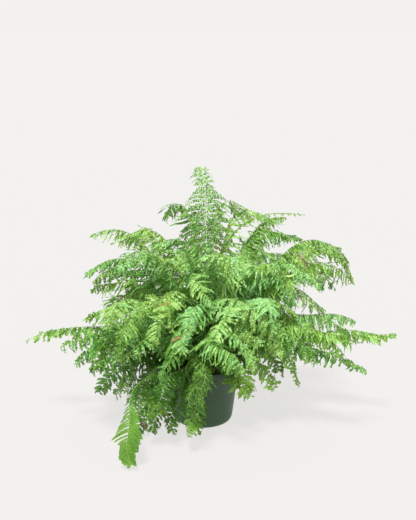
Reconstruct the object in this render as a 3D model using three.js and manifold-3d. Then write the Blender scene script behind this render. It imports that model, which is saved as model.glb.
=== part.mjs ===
// A lacy Boston fern in a round plastic nursery pot.
// Millimetres, +Z up, origin at the centre of the pot's flat base. The viewer stands on the -Y side.
// Azimuths are in degrees from +X towards +Y; elevations are in degrees above the horizon.
import * as THREE from "three";
import { mergeVertices } from "three/addons/utils/BufferGeometryUtils.js";
import Module from "manifold-3d";

const wasm = await Module();
wasm.setup();

// ---- Driving dimensions ----

const POT_HEIGHT = 130;
const RIM_RADIUS = 82.5; // a 165 mm pot, across the outside of its rim
const BODY_TOP_RADIUS = 77;
const BASE_RADIUS = 62;
const POT_WALL = 1.8;
const POT_FLOOR = 2.4;
const BASE_CORNER = 9; // radius of the rounded corner between base and wall
const RIM_HEIGHT = 15;
const RIM_EDGE = 1.2; // chamfer of the rim's top edge
const RIM_DRAFT = 1; // how far the rim tapers in towards its foot
const RIM_STEP = 2; // the slanted step inside, where the rim meets the wall
const CORNER_STEPS = 2;
const POT_SIDES = 32;
const DRAIN_COUNT = 6;
const DRAIN_RADIUS = 5;
const DRAIN_CIRCLE = 42;
const DRAIN_SIDES = 6;

const SEAT_GAP = 0.4; // between pieces that rest in one another
const SOIL_EDGE = 112; // height of the potting mix at the wall
const SOIL_RISE = 8; // and how much higher its middle is
const HEAP_STEPS = 2;

const TUFT_COUNT = 54; // plantlets in the pot, each a scaly bud with the fronds that rise from it
const TUFT_SPREAD = 58; // radius of the ring that they fill
const FRONDS_PER_TUFT = 3;
const SEED = 41;
const GOLDEN_ANGLE = 137.508;
const FIRST_BUD = 20; // degrees
const BUD_RADIUS = 3.6;
const BUD_TOP_RADIUS = 1.8;
const BUD_HEIGHT = 9; // above the mix
const BUD_DEPTH = 8; // below it
const BUD_SIDES = 4;
const ROOT_SINK = 2; // the fronds start this far below the bud's top
const ROOT_SHARE = 0.7; // a stalk's size inside the bud, as a share of that where it leaves it

const STEM_HALF_WIDTH = 1.2; // of a frond's stalk at the root
const STEM_TIP_SHARE = 0.5; // its size at the tip, as a share of that at the root
const STEM_DEPTH = 1.5; // from its flat top to its keel, as a share of its width
const SHOULDER = 1.12; // how much squarer than a circle's arc a frond bends over
const NEARLY_STRAIGHT = 0.1; // radians of bend
const HANGING_LAUNCH = 45; // degrees; the lowest elevation at which a frond leaves its bud
const UPRIGHT_LAUNCH = 88; // and the highest
const HANGING_STALK = 0.2; // share of a frond's length that is bare, when it leaves at the lowest elevation
const UPRIGHT_STALK = 0.42; // and at the highest
const STALK_STEPS = 2;
const LEAFLET_PITCH = 30.5; // along the midrib
const LEADING_PITCH = 24; // and on the fronds that give the plant its outline
const FEWEST_PAIRS = 6;
const RIB_END = 0.97; // share of a frond's length at which the last leaflets end
const FIRST_LEAFLET = 0.55; // length of the first leaflets, as a share of the longest
const LAST_LEAFLET = 0.42; // and of the last ones
const LONGEST_FROM = 0.25; // share of the leafy part over which they reach full length
const TAPER_POWER = 3.6; // how late they shorten towards the tip
const LEAFLET_SPREAD = 0.1; // of the length, either way
const FIRST_SWEEP = 10; // degrees that the first leaflets lean towards the tip
const LAST_SWEEP = 46; // and the last ones
const SWEEP_POWER = 1.5;
const SWEEP_SPREAD = 3; // degrees
const DROOP = 10; // degrees that leaflets hang below the midrib's own plane
const DROOP_SPREAD = 22;
const LOWEST_TIP = 14; // height of a frond's tip above the surface the pot stands on
const FLOOR_GAP = 2; // and leaflets that hang to it stay this far above it

const TO_RADIANS = Math.PI / 180;

// ---- Shared helpers ----

const mix = (a, b, t) => a + (b - a) * t;
const clamp = (x, low, high) => Math.min(high, Math.max(low, x));

// Even random numbers from 0 to 1, the same ones each time for the same seed.
function randomFrom(seed) {
  let state = seed * 7919 + 17;
  return () => {
    state = (state * 1664525 + 1013904223) % 4294967296;
    return state / 4294967296;
  };
}

const eitherWay = (random, size) => (2 * random() - 1) * size;

function heading(azimuth, elevation) {
  const a = azimuth * TO_RADIANS;
  const e = elevation * TO_RADIANS;
  return new THREE.Vector3(Math.cos(a) * Math.cos(e), Math.sin(a) * Math.cos(e), Math.sin(e));
}

function place(azimuth, radius, height) {
  const a = azimuth * TO_RADIANS;
  return new THREE.Vector3(radius * Math.cos(a), radius * Math.sin(a), height);
}

// A geometry as a solid that can be cut, and back.
function solidOf(geometry) {
  const bare = geometry.index ? geometry.toNonIndexed() : geometry.clone();
  bare.deleteAttribute("normal");
  bare.deleteAttribute("uv");
  const merged = mergeVertices(bare, 1e-3);
  return new wasm.Manifold(
    new wasm.Mesh({
      numProp: 3,
      vertProperties: merged.attributes.position.array,
      triVerts: new Uint32Array(merged.index.array),
    }),
  );
}

function geometryOf(solid) {
  const mesh = solid.getMesh();
  const geometry = new THREE.BufferGeometry();
  geometry.setAttribute("position", new THREE.BufferAttribute(mesh.vertProperties, 3));
  geometry.setIndex(new THREE.BufferAttribute(mesh.triVerts, 1));
  return geometry.toNonIndexed();
}

// A body of revolution about Z from a profile of [radius, height], drawn from the axis out, up and back.
function turned(profile) {
  const points = profile.map(([r, z]) => new THREE.Vector2(r, z));
  return new THREE.LatheGeometry(points, POT_SIDES).rotateX(Math.PI / 2);
}

function named(name, geometry, material) {
  const mesh = new THREE.Mesh(geometry, material);
  mesh.name = name;
  return mesh;
}

// ---- Materials ----

const potPlastic = new THREE.MeshStandardMaterial({ color: 0x33463b, roughness: 0.45, metalness: 0 });
const pottingMix = new THREE.MeshStandardMaterial({ color: 0x2b1d14, roughness: 1, metalness: 0 });
const leafGreen = new THREE.MeshStandardMaterial({ color: 0x5fa838, roughness: 0.6, metalness: 0 });

// ---- Pot ----

const rimBottom = POT_HEIGHT - RIM_HEIGHT;
const wallSlope = (BODY_TOP_RADIUS - BASE_RADIUS) / rimBottom;
const outsideRadius = (z) => BASE_RADIUS + wallSlope * z;
const insideRadius = (z) => outsideRadius(z) - POT_WALL;

// The round corner from the base up to the wall, for the outside or, one wall further in, the inside.
function corner(radius, bottom, wallRadius) {
  const points = [];
  for (let i = 0; i <= CORNER_STEPS; i++) {
    const turn = (i / CORNER_STEPS) * (Math.PI / 2);
    const z = bottom + radius * (1 - Math.cos(turn));
    points.push([wallRadius(z) - radius * (1 - Math.sin(turn)), z]);
  }
  return points;
}

function potGeometry() {
  const outside = corner(BASE_CORNER, 0, outsideRadius);
  const inside = corner(BASE_CORNER - POT_WALL, POT_FLOOR, insideRadius).reverse();
  const rimInside = RIM_RADIUS - POT_WALL;
  const shell = turned([
    [0, 0],
    ...outside,
    [outsideRadius(rimBottom), rimBottom],
    [RIM_RADIUS - RIM_DRAFT, rimBottom + RIM_DRAFT],
    [RIM_RADIUS, POT_HEIGHT - RIM_EDGE],
    [RIM_RADIUS - RIM_EDGE, POT_HEIGHT],
    [rimInside, POT_HEIGHT],
    [rimInside - RIM_STEP, rimBottom + RIM_DRAFT + RIM_STEP],
    [insideRadius(rimBottom), rimBottom + RIM_DRAFT],
    ...inside,
    [0, POT_FLOOR],
  ]);
  let pot = solidOf(shell);
  for (let i = 0; i < DRAIN_COUNT; i++) {
    const drill = new THREE.CylinderGeometry(DRAIN_RADIUS, DRAIN_RADIUS, 4 * POT_FLOOR, DRAIN_SIDES);
    drill.rotateX(Math.PI / 2);
    const at = place((360 * (i + 0.5)) / DRAIN_COUNT, DRAIN_CIRCLE, POT_FLOOR / 2);
    drill.translate(at.x, at.y, at.z);
    pot = pot.subtract(solidOf(drill));
  }
  return geometryOf(pot);
}

// ---- Potting mix ----

const soilTop = (r) => SOIL_EDGE + SOIL_RISE * (1 - (r / RIM_RADIUS) ** 2);

function soilGeometry(tufts) {
  const bottom = POT_FLOOR + SEAT_GAP;
  const side = corner(BASE_CORNER - POT_WALL, bottom, (z) => insideRadius(z) - SEAT_GAP);
  const edge = insideRadius(SOIL_EDGE) - SEAT_GAP;
  const heap = [];
  for (let i = HEAP_STEPS - 1; i >= 0; i--) {
    const radius = (edge * i) / HEAP_STEPS;
    heap.push([radius, soilTop(radius)]);
  }
  let soil = solidOf(turned([[0, bottom], ...side, [edge, SOIL_EDGE], ...heap]));
  const holeRadius = BUD_RADIUS + SEAT_GAP;
  for (const { bud } of tufts) {
    const hole = budShaft(holeRadius, holeRadius, BUD_DEPTH + SEAT_GAP, SOIL_RISE);
    soil = soil.subtract(solidOf(hole.translate(bud.x, bud.y, bud.z)));
  }
  return geometryOf(soil);
}

// ---- Tufts: where they stand and which fronds they carry ----

// A frond is told by where it goes: its tip's azimuth and reach from the pot's axis and its height, the
// elevation at which it leaves the bud and that of its tip, its swing sideways and its longest leaflet's
// length. Where the end curls away by another angle than the start swings out by, that one is given too.
// These are the ones that give the plant its outline as seen from the front.
const LEADING_FRONDS = [
  { azimuth: 95, reach: 60, height: 536, launch: 88, tip: 72, swing: 0, leaflet: 54 }, // tall, in the middle
  { azimuth: 163, reach: 82, height: 446, launch: 87, tip: -50, swing: -10, leaflet: 48 },
  { azimuth: 17, reach: 88, height: 425, launch: 87, tip: -50, swing: 8, leaflet: 50 },
  { azimuth: -12, reach: 190, height: 486, launch: 87, tip: -14, swing: 10, leaflet: 6 }, // a thin young one
  { azimuth: 176, reach: 228, height: 398, launch: 79, tip: -20, swing: 6, leaflet: 46 }, // upper left
  { azimuth: 182, reach: 242, height: 330, launch: 76, tip: -35, swing: 4, leaflet: 50 },
  { azimuth: 26, reach: 200, height: 418, launch: 80, tip: -14, swing: 8, leaflet: 44 }, // upper right
  { azimuth: 10, reach: 316, height: 338, launch: 74, tip: -42, swing: -6, leaflet: 46 },
  { azimuth: 0, reach: 312, height: 326, launch: 72, tip: -40, swing: 4, leaflet: 48 },
  { azimuth: -5, reach: 314, height: 302, launch: 71, tip: -66, swing: 0, leaflet: 34 },
  { azimuth: 186, reach: 370, height: 190, launch: 57, tip: -14, swing: 5, leaflet: 30 }, // far left
  { azimuth: 199, reach: 298, height: 196, launch: 60, tip: -34, swing: -6, leaflet: 38 },
  { azimuth: -6, reach: 402, height: 212, launch: 50, tip: 12, swing: -6, leaflet: 34 }, // far right
  { azimuth: -4, reach: 322, height: 222, launch: 58, tip: -25, swing: 6, leaflet: 44 },
  { azimuth: -6, reach: 256, height: 266, launch: 72, tip: -52, swing: 5, leaflet: 46 },
  { azimuth: -20, reach: 345, height: 154, launch: 56, tip: -30, swing: 8, leaflet: 32 },
  // It hangs lowest, and its end curls to one side.
  { azimuth: -117.4, reach: 284, height: 20, launch: 49, tip: -60, swing: 6, curl: 104, leaflet: 40 },
  { azimuth: -113, reach: 160, height: 36, launch: 48, tip: -80, swing: -4, leaflet: 34 },
  { azimuth: -119, reach: 178, height: 34, launch: 47, tip: -82, swing: 5, leaflet: 34 },
  { azimuth: -98, reach: 130, height: 24, launch: 47, tip: -84, swing: 4, leaflet: 34 },
  { azimuth: -125, reach: 190, height: 48, launch: 47, tip: -80, swing: -6, leaflet: 34 },
  { azimuth: -53, reach: 138, height: 92, launch: 46, tip: -82, swing: 6, leaflet: 32 },
  { azimuth: -29, reach: 168, height: 98, launch: 50, tip: -76, swing: 6, leaflet: 34 },
  { azimuth: -41, reach: 150, height: 98, launch: 48, tip: -80, swing: -6, leaflet: 32 },
  { azimuth: -30, reach: 312, height: 214, launch: 66, tip: -34, swing: -34, leaflet: 40 }, // front
  { azimuth: -72, reach: 262, height: 206, launch: 70, tip: -40, swing: 44, leaflet: 40 },
  { azimuth: -136, reach: 262, height: 268, launch: 72, tip: -36, swing: 34, leaflet: 40 },
  { azimuth: 164, reach: 165, height: 330, launch: 81, tip: -30, swing: -8, leaflet: 44 },
  { azimuth: 173, reach: 238, height: 344, launch: 78, tip: -36, swing: -6, leaflet: 48 },
  { azimuth: 172, reach: 238, height: 282, launch: 75, tip: -48, swing: 6, leaflet: 44 },
  { azimuth: 190, reach: 242, height: 246, launch: 71, tip: -44, swing: 6, leaflet: 44 },
  { azimuth: 140, reach: 240, height: 340, launch: 76, tip: -30, swing: 4, leaflet: 44 },
  { azimuth: 10, reach: 190, height: 392, launch: 80, tip: -28, swing: -8, leaflet: 44 },
  { azimuth: 15, reach: 240, height: 374, launch: 79, tip: -30, swing: -6, leaflet: 46 },
  { azimuth: 20, reach: 292, height: 330, launch: 76, tip: -40, swing: 5, leaflet: 46 },
  { azimuth: 8, reach: 282, height: 304, launch: 75, tip: -50, swing: -6, leaflet: 48 },
  { azimuth: 30, reach: 262, height: 362, launch: 77, tip: -25, swing: 6, leaflet: 44 },
  { azimuth: -14, reach: 250, height: 290, launch: 75, tip: -50, swing: 4, leaflet: 42 },
  { azimuth: 0, reach: 84, height: 392, launch: 86, tip: -40, swing: -6, leaflet: 40 },
  { azimuth: 158, reach: 112, height: 386, launch: 85, tip: -35, swing: 6, leaflet: 40 },
  { azimuth: 206, reach: 286, height: 176, launch: 58, tip: -50, swing: 6, leaflet: 38 },
  { azimuth: 220, reach: 262, height: 168, launch: 59, tip: -60, swing: 4, leaflet: 38 },
  { azimuth: 233, reach: 252, height: 190, launch: 62, tip: -50, swing: -6, leaflet: 38 },
  { azimuth: -9, reach: 346, height: 186, launch: 56, tip: -14, swing: 6, leaflet: 42 },
  { azimuth: -12, reach: 300, height: 180, launch: 60, tip: -40, swing: 4, leaflet: 38 },
  { azimuth: -19, reach: 250, height: 166, launch: 60, tip: -56, swing: -5, leaflet: 36 },
  { azimuth: -104, reach: 236, height: 240, launch: 74, tip: -50, swing: -46, leaflet: 38 },
  { azimuth: -50, reach: 236, height: 262, launch: 76, tip: -44, swing: 40, leaflet: 40 },
  { azimuth: -84, reach: 176, height: 300, launch: 82, tip: -50, swing: 38, leaflet: 38 },
  { azimuth: -122, reach: 214, height: 318, launch: 80, tip: -44, swing: -40, leaflet: 40 },
  { azimuth: -128, reach: 242, height: 164, launch: 59, tip: -70, swing: 6, leaflet: 34 },
  { azimuth: -134, reach: 246, height: 176, launch: 60, tip: -70, swing: -6, leaflet: 34 },
  { azimuth: -25, reach: 212, height: 146, launch: 56, tip: -70, swing: -5, leaflet: 34 },
];

// The rest follow their age, from the upright young ones in the middle, 0, to the old ones that hang, 1.
const AGES = {
  reach: [90, 165, 212, 240, 252, 240, 180],
  height: [415, 345, 285, 222, 160, 108, 60],
  launch: [86, 83, 79, 74, 67, 57, 47],
  tip: [30, -36, -56, -62, -66, -72, -82],
  leaflet: [42, 40, 39, 38, 36, 34, 30],
};
const REACH_SPREAD = 0.1; // as a share of the value for its age, either way
const HEIGHT_SPREAD = 0.1;
const SWING_SPREAD = 34; // degrees
const TURN_SPREAD = 9; // degrees
const ROLL_SPREAD = 40; // degrees that the leafy part twists by at the tip
const OPEN_SIDE = -45; // towards here the pot shows, because none of the fronds hangs low
const OPEN_HALF_WIDTH = 42; // degrees
const OPEN_AGE = 0.5;
const NEXT_TURN = 34; // degrees from each frond of a bud to the next
const NEXT_AGE = 0.1; // and how much older that one is
const OUTERMOST_LEAN = 46; // degrees from upright at which a leading frond gets a bud at the very edge
const OTHERS_FROM = 100; // rank of the first of the fronds that don't lead

function atAge(values, age) {
  const spot = clamp(age, 0, 1) * (values.length - 1);
  const i = Math.min(Math.floor(spot), values.length - 2);
  return mix(values[i], values[i + 1], spot - i);
}

function frondOfAge(fullAge, azimuth, random) {
  const fromOpenSide = Math.abs(((((azimuth - OPEN_SIDE) % 360) + 540) % 360) - 180);
  const age = fromOpenSide < OPEN_HALF_WIDTH ? Math.min(fullAge, OPEN_AGE) : fullAge;
  return {
    azimuth: azimuth + eitherWay(random, TURN_SPREAD),
    reach: atAge(AGES.reach, age) * (1 + eitherWay(random, REACH_SPREAD)),
    height: atAge(AGES.height, age) * (1 + eitherWay(random, HEIGHT_SPREAD)),
    launch: atAge(AGES.launch, age),
    tip: atAge(AGES.tip, age),
    leaflet: atAge(AGES.leaflet, age),
    swing: eitherWay(random, SWING_SPREAD),
  };
}

// The buds stand in a spiral that fills the pot evenly. Each leading frond gets the nearest free one.
function plantTufts() {
  const random = randomFrom(SEED);
  const tufts = [];
  for (let i = 0; i < TUFT_COUNT; i++) {
    const age = (i + 0.5) / TUFT_COUNT;
    const azimuth = FIRST_BUD + i * GOLDEN_ANGLE;
    const radius = TUFT_SPREAD * Math.sqrt(age);
    const bud = place(azimuth, radius, soilTop(radius));
    const fronds = [];
    for (let j = 0; j < FRONDS_PER_TUFT; j++) {
      const side = i % 2 ? 1 : -1;
      fronds.push(frondOfAge(age + j * NEXT_AGE, azimuth + j * side * NEXT_TURN, random));
    }
    tufts.push({ bud, fronds });
  }
  const free = new Set(tufts);
  LEADING_FRONDS.forEach((frond, rank) => {
    const radius = TUFT_SPREAD * Math.sqrt((90 - frond.launch) / OUTERMOST_LEAN);
    const wanted = place(frond.azimuth, radius, 0);
    const distance = ({ bud }) => Math.hypot(bud.x - wanted.x, bud.y - wanted.y);
    const nearest = [...free].reduce((a, b) => (distance(b) < distance(a) ? b : a));
    nearest.fronds[0] = { ...frond, leads: true, rank };
    free.delete(nearest);
  });
  return tufts;
}

// ---- Fronds ----

// The curve of a stalk and midrib: up out of the bud, then an arch under its own weight.
function archOf(bud, { azimuth, reach, height, launch, tip, swing, curl = swing }) {
  const tipAt = place(azimuth, reach, height);
  const bearing = Math.atan2(tipAt.y - bud.y, tipAt.x - bud.x) / TO_RADIANS;
  const rootAt = bud.clone().add(place(bearing, BUD_TOP_RADIUS / 2, BUD_HEIGHT - ROOT_SINK));
  const bend = (launch - tip) * TO_RADIANS;
  const asCircle = bend < NEARLY_STRAIGHT ? 1 / 3 : (2 / 3) * (Math.tan(bend / 4) / Math.sin(bend / 2));
  const pull = rootAt.distanceTo(tipAt) * asCircle * SHOULDER;
  return new THREE.CubicBezierCurve3(
    rootAt,
    rootAt.clone().addScaledVector(heading(bearing - swing, launch), pull),
    tipAt.clone().addScaledVector(heading(bearing + curl, tip), -pull),
    tipAt,
  );
}

// Leaflet length along the leafy part, from 0 at its start to 1 at the tip, as a share of the longest.
function leafletShare(along) {
  const grows = mix(FIRST_LEAFLET, 1, clamp(along / LONGEST_FROM, 0, 1));
  return grows * mix(1, LAST_LEAFLET, along ** TAPER_POWER);
}

// A frond's cross-sections, each with a centre, three axes and half its width: the bare stalk's, then the
// midrib's.
function layStem(bud, frond, roll) {
  const upright = (frond.launch - HANGING_LAUNCH) / (UPRIGHT_LAUNCH - HANGING_LAUNCH);
  const bare = mix(HANGING_STALK, UPRIGHT_STALK, clamp(upright, 0, 1));
  const arch = archOf(bud, frond);
  const length = arch.getLength();
  const level = arch.v3.clone().sub(arch.v0).setZ(0).normalize();
  const side = new THREE.Vector3(-level.y, level.x, 0);
  const section = (share) => {
    const centre = arch.getPointAt(share);
    const along = arch.getTangentAt(share);
    const across = side.clone().addScaledVector(along, -side.dot(along)).normalize();
    across.applyAxisAngle(along, roll * share * TO_RADIANS);
    const up = new THREE.Vector3().crossVectors(along, across);
    return { centre, along, across, up, halfWidth: STEM_HALF_WIDTH * mix(1, STEM_TIP_SHARE, share) };
  };
  const stalk = [];
  for (let i = 0; i < STALK_STEPS; i++) stalk.push(section((bare * i) / STALK_STEPS));
  const pitch = frond.leads ? LEADING_PITCH : LEAFLET_PITCH;
  const pairs = Math.max(FEWEST_PAIRS, Math.round((length * (1 - bare)) / pitch));
  const rib = [];
  for (let i = 0; i <= pairs; i++) rib.push(section(mix(bare, RIB_END, i / pairs)));
  return { stalk, rib, end: arch.getPoint(1) };
}

// The tip of the leaflet that grows between two cross-sections of the midrib.
function leafletTip(from, to, { hand, sweep, droop, length }) {
  const level = Math.cos(droop * TO_RADIANS) * length;
  const tip = from.centre
    .clone()
    .lerp(to.centre, 0.5)
    .addScaledVector(from.across, hand * level * Math.cos(sweep * TO_RADIANS))
    .addScaledVector(from.along, level * Math.sin(sweep * TO_RADIANS))
    .addScaledVector(from.up, -Math.sin(droop * TO_RADIANS) * length);
  tip.z = Math.max(tip.z, FLOOR_GAP);
  return tip;
}

// ---- Room: fronds grow into what their neighbours leave free ----

const STALK_BALL = 1.8; // radius
const STALK_BALLS_AT = [0, 0.2, 0.4, 0.6, 0.8]; // along each step of the stalk
const RIB_BALL = 4.6;
const RIB_BALLS_AT = [0, 0.5];
const LEAFLET_BALLS = [
  { along: 0.4, radius: 4.8 },
  { along: 0.72, radius: 3.8 },
  { along: 1, radius: 2.4 },
];
const CELL = 10; // of the grid, no less than twice the largest ball's radius
const CLEARANCE = 0.4; // between fronds of different tufts
const BUD_COLUMN = 18; // height kept free above each bud for its own fronds
const COLUMN_STEP = 3;
const JOINED_NEAR = 22; // this close to their bud, the fronds of one tuft may join

// Balls that fill out the fronds so far, kept in the cells of a grid.
function emptyRoom() {
  const cells = new Map();
  const cellOf = (x) => Math.floor(x / CELL);
  const keyOf = (x, y, z) => `${x},${y},${z}`;
  const add = (ball, tuft) => {
    const { at } = ball;
    const key = keyOf(cellOf(at.x), cellOf(at.y), cellOf(at.z));
    const joins = at.distanceTo(tuft.bud) < JOINED_NEAR ? tuft : null;
    if (!cells.has(key)) cells.set(key, []);
    cells.get(key).push({ ...ball, joins });
  };
  const isFree = ({ at, radius }, tuft) => {
    for (let x = cellOf(at.x) - 1; x <= cellOf(at.x) + 1; x++) {
      for (let y = cellOf(at.y) - 1; y <= cellOf(at.y) + 1; y++) {
        for (let z = cellOf(at.z) - 1; z <= cellOf(at.z) + 1; z++) {
          for (const ball of cells.get(keyOf(x, y, z)) ?? []) {
            if (ball.joins === tuft) continue;
            if (at.distanceToSquared(ball.at) < (radius + ball.radius) ** 2) return false;
          }
        }
      }
    }
    return true;
  };
  return { add, isFree, solids: [] };
}

// Clear of the pot's rim and wall and of the mix, and above the surface that the pot stands on.
function clearOfPot({ at, radius }) {
  const out = Math.hypot(at.x, at.y);
  if (at.z < FLOOR_GAP + radius / 2) return false;
  if (at.z > POT_HEIGHT + radius || out > RIM_RADIUS + radius) return true;
  return out < RIM_RADIUS - POT_WALL - RIM_STEP - radius && at.z > soilTop(out) + radius;
}

function stemBalls({ stalk, rib }) {
  const line = [...stalk, rib[0]];
  const balls = [];
  for (let i = 0; i + 1 < line.length; i++) {
    for (const t of STALK_BALLS_AT) {
      balls.push({ at: line[i].centre.clone().lerp(line[i + 1].centre, t), radius: STALK_BALL });
    }
  }
  for (let i = 0; i + 1 < rib.length; i++) {
    for (const t of RIB_BALLS_AT) {
      balls.push({ at: rib[i].centre.clone().lerp(rib[i + 1].centre, t), radius: RIB_BALL });
    }
  }
  return balls;
}

const leafletBalls = (root, tip) =>
  LEAFLET_BALLS.map(({ along, radius }) => ({ at: root.clone().lerp(tip, along), radius }));

// A leaflet takes the first of these ways that is free: so much more droop, at this share of its length.
const LEAFLET_WAYS = [
  { more: 0, share: 1 },
  { more: 18, share: 1 },
  { more: -18, share: 1 },
  { more: 36, share: 0.95 },
  { more: -36, share: 0.95 },
  { more: 0, share: 0.78 },
  { more: 24, share: 0.78 },
  { more: -24, share: 0.78 },
  { more: 0, share: 0.58 },
  { more: 40, share: 0.6 },
];
const NUB = 4.5; // length of a leaflet that finds no room

function growLeaflets(tuft, frond, { rib }, room, random) {
  const pairs = rib.length - 1;
  const leaflets = [];
  let grown = 0;
  for (let i = 0; i < pairs; i++) {
    const along = (i + 0.5) / pairs;
    const root = rib[i].centre.clone().lerp(rib[i + 1].centre, 0.5);
    for (const hand of [1, -1]) {
      const full = frond.leaflet * leafletShare(along) * (1 + eitherWay(random, LEAFLET_SPREAD));
      const sweep = mix(FIRST_SWEEP, LAST_SWEEP, along ** SWEEP_POWER) + eitherWay(random, SWEEP_SPREAD);
      const droop = DROOP + eitherWay(random, DROOP_SPREAD);
      const tipFor = ({ more, share }) =>
        leafletTip(rib[i], rib[i + 1], { hand, sweep, droop: droop + more, length: full * share });
      const isClear = (ball) => clearOfPot(ball) && room.isFree(ball, tuft);
      const fits = (way) => leafletBalls(root, tipFor(way)).every(isClear);
      const way = LEAFLET_WAYS.find(fits);
      const nub = { more: 0, share: Math.min(1, NUB / full) };
      leaflets.push({ root, tip: tipFor(way ?? nub), nub: !way });
      grown += way ? way.share : 0;
    }
  }
  return { leaflets, fullness: grown / (2 * pairs) };
}

// Each frond is turned, lifted and drawn in as little as gives it room for most of its leaflets.
const TURNS = [0, 4, -4, 8, -8, 13, -13, 19, -19];
const LIFTS = [0, 12, -12, 26, -26, 42, -42];
const SPANS = [1, 0.88, 1.1];
const LEANS = [0, 11, -11];
const TURN_EFFORT = 4; // a degree of turn counts as so many millimetres of lift
const SPAN_EFFORT = 300; // and so does a doubled span
const LEAN_EFFORT = 2; // and a degree of lean
const LAUNCH_PER_LIFT = 0.08; // degrees that each millimetre of lift turns the root up
const FULL_ENOUGH = 0.82; // share of the leaflets' length that stops the search
const TOO_BARE = 0.5; // and below which a frond is left out
const LEADING_TOO_BARE = 0.4;
const LEADING_ROLL = ROLL_SPREAD / 3;

function waysToGrow() {
  const ways = [];
  for (const turn of TURNS) {
    for (const lift of LIFTS) {
      for (const span of SPANS) {
        for (const lean of LEANS) ways.push({ turn, lift, span, lean });
      }
    }
  }
  const effort = ({ turn, lift, span, lean }) =>
    Math.hypot(turn * TURN_EFFORT, lift, (span - 1) * SPAN_EFFORT, lean * LEAN_EFFORT);
  return ways.sort((a, b) => effort(a) - effort(b));
}
const WAYS = waysToGrow();

function growFrond(tuft, frond, room, seed) {
  let best = null;
  for (const { turn, lift, span, lean } of WAYS) {
    const random = randomFrom(seed);
    const roll = eitherWay(random, frond.leads ? LEADING_ROLL : ROLL_SPREAD);
    const moved = {
      ...frond,
      azimuth: frond.azimuth + turn,
      reach: frond.reach * span,
      swing: frond.swing + lean,
      height: Math.max(frond.height + lift, LOWEST_TIP),
      launch: Math.min(frond.launch + lift * LAUNCH_PER_LIFT, UPRIGHT_LAUNCH),
    };
    const stem = layStem(tuft.bud, moved, roll);
    const balls = stemBalls(stem);
    if (!balls.every((b) => clearOfPot(b) && room.isFree(b, tuft))) continue;
    const { leaflets, fullness } = growLeaflets(tuft, moved, stem, room, random);
    if (best && fullness <= best.fullness) continue;
    const grown = { ...stem, balls, leaflets, fullness };
    const swollen = solidOf(frondGeometry(tuft.bud, grown, CLEARANCE));
    const tooClose = ({ tuft: other, solid }) => other !== tuft && !solid.intersect(swollen).isEmpty();
    if (room.solids.some(tooClose)) continue;
    best = grown;
    if (fullness >= FULL_ENOUGH) break;
  }
  if (!best || best.fullness < (frond.leads ? LEADING_TOO_BARE : TOO_BARE)) return null;
  const filled = best.leaflets.filter((l) => !l.nub).flatMap((l) => leafletBalls(l.root, l.tip));
  [...best.balls, ...filled].forEach((ball) => room.add(ball, tuft));
  room.solids.push({ tuft, solid: solidOf(frondGeometry(tuft.bud, best)) });
  return best;
}

function growTufts(tufts) {
  const room = emptyRoom();
  tufts.forEach((tuft) => {
    for (let up = 0; up <= BUD_COLUMN; up += COLUMN_STEP) {
      room.add({ at: tuft.bud.clone().setZ(tuft.bud.z + up), radius: BUD_RADIUS }, tuft);
    }
  });
  const order = [];
  tufts.forEach((tuft, i) => {
    tuft.grown = [];
    tuft.fronds.forEach((frond, j) => {
      const rank = frond.rank ?? OTHERS_FROM + j * TUFT_COUNT + i;
      order.push({ tuft, frond, rank });
    });
  });
  order.sort((a, b) => a.rank - b.rank);
  for (const { tuft, frond, rank } of order) {
    const grown = growFrond(tuft, frond, room, rank);
    if (grown) tuft.grown.push(grown);
  }
}

// A closed three-sided stem, flat on top with a keel below, whose sides run out into pointed leaflets.
// It can be made thicker all round by a margin, to test what it would come too close to.
function frondGeometry(bud, { stalk, rib, leaflets, end }, margin = 0) {
  const upright = { ...stalk[0], halfWidth: STEM_HALF_WIDTH * ROOT_SHARE };
  upright.along = new THREE.Vector3(0, 0, 1);
  upright.up = new THREE.Vector3().crossVectors(upright.along, upright.across);
  upright.centre = bud.clone().setZ(bud.z + BUD_HEIGHT / 3);
  const sections = [upright, ...stalk, ...rib];
  const rings = sections.map(({ centre, across, up, halfWidth }) => {
    const out = halfWidth + margin;
    const deep = (halfWidth * STEM_DEPTH) / 2 + margin;
    return {
      left: centre.clone().addScaledVector(across, out).addScaledVector(up, deep),
      right: centre.clone().addScaledVector(across, -out).addScaledVector(up, deep),
      keel: centre.clone().addScaledVector(up, -deep),
    };
  });
  const corners = [];
  const face = (...points) => points.forEach((p) => corners.push(p.x, p.y, p.z));
  const ribStart = sections.length - rib.length;
  face(rings[0].left, rings[0].keel, rings[0].right);
  for (let i = 0; i + 1 < rings.length; i++) {
    const a = rings[i];
    const b = rings[i + 1];
    face(a.left, a.right, b.right);
    face(a.left, b.right, b.left);
    if (i < ribStart) {
      face(a.keel, a.left, b.left);
      face(a.keel, b.left, b.keel);
      face(a.right, a.keel, b.keel);
      face(a.right, b.keel, b.right);
    } else {
      const [l, r] = leaflets.slice(2 * (i - ribStart)).map((leaflet) => leaflet.tip);
      face(a.left, b.left, l);
      face(b.keel, a.keel, l);
      face(a.keel, a.left, l);
      face(b.left, b.keel, l);
      face(b.right, a.right, r);
      face(a.keel, b.keel, r);
      face(a.right, a.keel, r);
      face(b.keel, b.right, r);
    }
  }
  const last = rings[rings.length - 1];
  face(last.left, last.right, end);
  face(last.right, last.keel, end);
  face(last.keel, last.left, end);
  return new THREE.BufferGeometry().setAttribute(
    "position",
    new THREE.BufferAttribute(new Float32Array(corners), 3),
  );
}

// An upright shaft with few sides, from so far below its own origin to so far above.
function budShaft(topRadius, bottomRadius, below, above) {
  const shaft = new THREE.CylinderGeometry(topRadius, bottomRadius, below + above, BUD_SIDES);
  return shaft.rotateX(Math.PI / 2).translate(0, 0, (above - below) / 2);
}

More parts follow.
